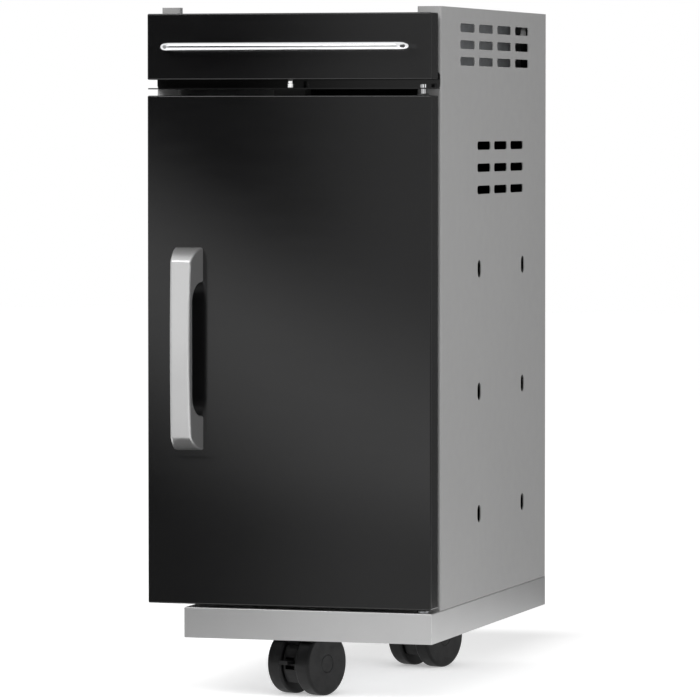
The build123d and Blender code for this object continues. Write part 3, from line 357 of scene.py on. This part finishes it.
# Zinc plate: soft spangle over drawn lines
def zinc_steel():
    material, tree = new_material("zinc_steel")
    cells = tree.add("TexVoronoi", {"Vector": tree.place(), "Scale": 170.0, "Randomness": 1.0})
    spangle = tree.add("SeparateColor", {"Color": cells.outputs["Color"]}).outputs["Red"]
    lines = tree.noise(scale=1.0, detail=3.0, vector=tree.stretched((1300, 40, 1300)))
    base = tree.mix(spangle, (0.46, 0.47, 0.48, 1), (0.58, 0.59, 0.61, 1))
    base = tree.tinted(lines, base, tint=(0.86, 0.87, 0.88, 1))
    rough = tree.spread(spangle, low=0.30, high=0.44, start=0, end=1)
    drawn = tree.bump(lines, distance=0.00002)
    tree.surface(base=base, metal=0.8, rough=rough, normal=drawn)
    return material


MAKERS = (
    grey_paint,
    black_gloss,
    chrome,
    silver_satin,
    caster_black,
    catch_black,
    bumper_rubber,
    nylon_white,
    zinc_steel,
)
FINISHES = {make.__name__: make() for make in MAKERS}


def dress_cad_nodes():
    for name, piece in NODES.items():
        piece.data.materials.clear()
        piece.data.materials.append(FINISHES[SLOT_OF[name]])


# White surroundings for what the camera and polished metal see, and a plain level for soft light
def studio_world():
    world = bpy.data.worlds.new("studio")
    bpy.context.scene.world = world
    tree = Tree(world)
    upward = tree.add("SeparateXYZ", {0: tree.add("TexCoord").outputs["Generated"]}).outputs["Z"]
    level = tree.ease(upward, 0.0, 1.0, HORIZON_LEVEL, ZENITH_LEVEL, "LINEAR")
    light = tree.add("Background", {"Color": WHITE, "Strength": level}).outputs[0]
    white = tree.add("Background", {"Color": WHITE, "Strength": 1.0}).outputs[0]
    tree.output(tree.mixed(tree.seen(), light, white), "OutputWorld")


def upright(x, y, z):
    """Corners of an upright sheet that faces the front."""
    return [(x[0], y, z[0]), (x[1], y, z[0]), (x[1], y, z[1]), (x[0], y, z[1])]


def sideways(x, y, z):
    """Corners of an upright sheet that faces a side."""
    return [(x, y[0], z[0]), (x, y[1], z[0]), (x, y[1], z[1]), (x, y[0], z[1])]


def stage_sheet(name, corners):
    """Flat sheet of the studio, with an empty material of its own."""
    mesh = bpy.data.meshes.new(name)
    mesh.from_pydata(corners, [], [(0, 1, 2, 3)])
    sheet = bpy.data.objects.new(name, mesh)
    bpy.context.scene.collection.objects.link(sheet)
    material, tree = new_material(name)
    mesh.materials.append(material)
    return sheet, tree


# Matte floor, lifted to white for the eye, with a soft shade near the cabinet
def studio_floor():
    half = FLOOR_WIDTH / 2
    _, tree = stage_sheet("floor", [(-half, -half, 0), (half, -half, 0), (half, half, 0), (-half, half, 0)])
    matte = tree.add("BsdfDiffuse", {"Color": FLOOR_COLOUR}).outputs[0]
    axes = tree.axes()
    across = tree.within(axes["X"], SHADE_X, SHADE_EDGE)
    along = tree.within(axes["Y"], SHADE_Y, SHADE_EDGE)
    open_sky = tree.add("AmbientOcclusion", {"Distance": SHADE_REACH}, samples=SHADE_SAMPLES).outputs["AO"]
    pool = tree.math("MULTIPLY", tree.math("MULTIPLY", across, along), open_sky)
    level = tree.ease(pool, 0.0, 1.0, FLOOR_LIFT, FLOOR_LIFT * (1 - SHADE_LEVEL), "LINEAR")
    contact = tree.add("AmbientOcclusion", {"Distance": CONTACT_REACH}, samples=SHADE_SAMPLES).outputs["AO"]
    level = tree.math("MULTIPLY", level, tree.ease(contact, 0.0, 1.0, 1 - CONTACT_LEVEL, 1.0, "LINEAR"))
    lit = tree.add("AddShader", {0: matte, 1: tree.emission(level)}).outputs[0]
    tree.output(tree.mixed(tree.seen(), matte, lit))


def glossy_card(name, corners):
    """Sheet of the studio that shows only in polished surfaces."""
    card, tree = stage_sheet(name, corners)
    card.visible_camera = False
    card.visible_diffuse = False
    card.visible_shadow = False
    return tree


def plain_card(name, corners, level):
    tree = glossy_card(name, corners)
    tree.output(tree.emission(level))


# Dark panel with a pale slanting band, brighter towards the right, for the gloss of the fronts
def studio_panel():
    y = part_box("door_skin")[0][1] - PANEL_GAP
    tree = glossy_card("studio_panel", upright(PANEL_X, y, (0, PANEL_HEIGHT)))
    axes = tree.axes()
    across = tree.ease(axes["X"], *MIRRORED_X, ease="LINEAR")
    across.node.clamp = False
    down = tree.ease(axes["Z"], *MIRRORED_Z, ease="LINEAR")
    down.node.clamp = False
    from_band = tree.math("SUBTRACT", down, tree.math("MULTIPLY", across, BAND_SLANT))
    rise = tree.ease(from_band, 0.0, BAND_PEAK)
    fall = tree.ease(from_band, BAND_PEAK, BAND_END, 1.0, 0.0)
    band = tree.math("MULTIPLY", rise, fall)
    upper = tree.ease(across, *UPPER_FADE, PANEL_DARK_LEVEL, PANEL_RIGHT_LEVEL)
    lower = tree.ease(across, *LOWER_FADE, PANEL_DARK_LEVEL, PANEL_RIGHT_LEVEL, "LINEAR")
    ground = tree.blend(tree.ease(down, *FADE_CHANGE), upper, lower)
    level = tree.blend(band, ground, PANEL_BAND_LEVEL)
    from_middle = tree.math("ABSOLUTE", tree.math("SUBTRACT", across, MIRRORED_MIDDLE))
    margin = tree.math("MAXIMUM", tree.ease(from_middle, *SIDE_MARGIN), tree.ease(down, *TOP_MARGIN))
    tree.output(tree.emission(tree.blend(margin, level, 1.0)))


# Screen that is brighter to the right and thins out upwards
def low_screen():
    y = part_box("door_skin")[0][1] - SCREEN_GAP
    tree = glossy_card("low_screen", upright(SCREEN_X, y, (0, SCREEN_HEIGHT)))
    axes = tree.axes()
    level = tree.ease(axes["X"], *SCREEN_FADE_X, *SCREEN_LEVELS)
    clear = tree.add("BsdfTransparent").outputs[0]
    cover = tree.ease(axes["Z"], SCREEN_HEIGHT, SCREEN_HEIGHT / 2)
    tree.output(tree.mixed(cover, clear, tree.emission(level)))


def dark_cards():
    plain_card("wall_card", upright(WALL_X, WALL_Y, (0, WALL_HEIGHT)), WALL_LEVEL)
    for name, x, level in zip(("left_card", "right_card"), SIDE_X, SIDE_LEVELS):
        plain_card(name, sideways(x, SIDE_Y, (0, PANEL_HEIGHT)), level)


# Dark sheet that paints shade onto the lower end of the grip through its reflection
def grip_painted_shade():
    grip_low, grip_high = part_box("door_handle")
    left, right = grip_low[0] - GRIP_SHADE_MARGIN, grip_high[0] + GRIP_SHADE_MARGIN
    back, front = grip_high[1], grip_high[1] - GRIP_SHADE_DEPTH
    high = grip_low[2] - GRIP_SHADE_DROP
    low = high - GRIP_SHADE_DEPTH * GRIP_SHADE_SLOPE
    corners = [(left, front, low), (right, front, low), (right, back, high), (left, back, high)]
    plain_card("grip_painted_shade", corners, GRIP_SHADE_LEVEL)


def soft_light(name, place, target, size, power, glint):
    lamp = bpy.data.lights.new(name, "AREA")
    lamp.shape = "RECTANGLE"
    lamp.size, lamp.size_y = size
    lamp.energy = power
    light = bpy.data.objects.new(name, lamp)
    light.location = place
    aim = Vector(target) - Vector(place)
    light.rotation_euler = aim.to_track_quat("-Z", "Y").to_euler()
    light.visible_glossy = glint
    bpy.context.scene.collection.objects.link(light)


def studio_camera():
    lens = bpy.data.cameras.new("camera")
    lens.lens = CAMERA_LENS
    lens.sensor_width = SENSOR_WIDTH
    lens.clip_end = CAMERA_REACH
    camera = bpy.data.objects.new("camera", lens)
    camera.location = CAMERA_PLACE
    camera.rotation_euler = (radians(90 - CAMERA_PITCH), 0, radians(CAMERA_YAW))
    bpy.context.scene.collection.objects.link(camera)
    bpy.context.scene.camera = camera


dress_cad_nodes()
studio_world()
studio_floor()
studio_panel()
low_screen()
dark_cards()
grip_painted_shade()
studio_camera()
soft_light("key", **KEY_LAMP)
soft_light("right_fill", **FILL_LAMP)

bpy.context.scene.view_settings.view_transform = "Standard"
